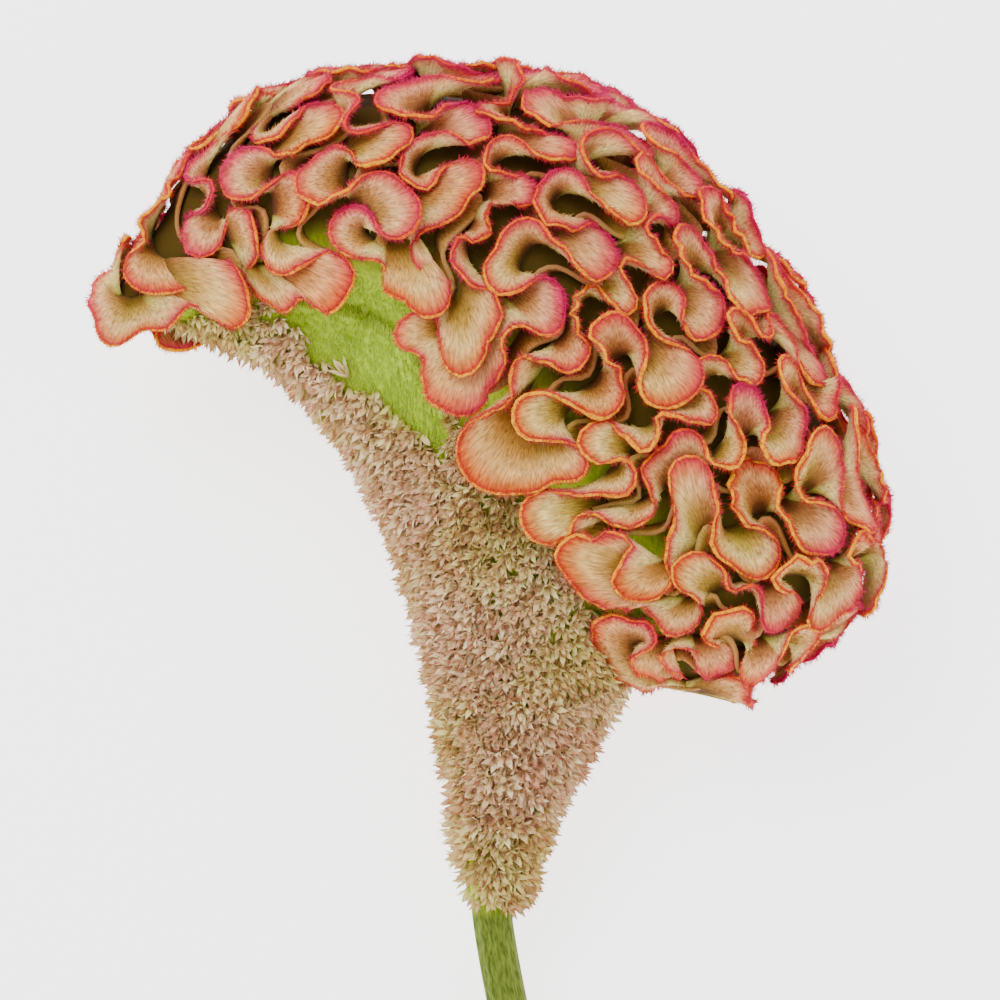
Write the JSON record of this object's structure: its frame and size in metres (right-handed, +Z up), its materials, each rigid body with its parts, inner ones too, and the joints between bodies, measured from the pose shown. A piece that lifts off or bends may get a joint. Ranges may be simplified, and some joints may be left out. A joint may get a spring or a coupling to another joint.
{
  "type": "cut cockscomb celosia flower head",
  "caption": "Cut cockscomb celosia lying down: a fan-shaped stem with a broad, deeply folded velvety crest over a sleeve of small papery florets.",
  "frame": {"origin": "middle of the bounding box at the level of the surface the flower lies on", "axes": "+Z up from the surface, +Y from the cut end of the stalk towards the crest, +X towards the crest's broad right end"},
  "size_m": [0.1776, 0.2448, 0.0879],
  "materials": {
    "crest": "matte velvet",
    "florets": "matte papery",
    "stem": "satin green stalk"
  },
  "bodies": {
    "root": {"crest": "crest", "florets": "florets", "stem": "stem"}
  },
  "joints": []
}
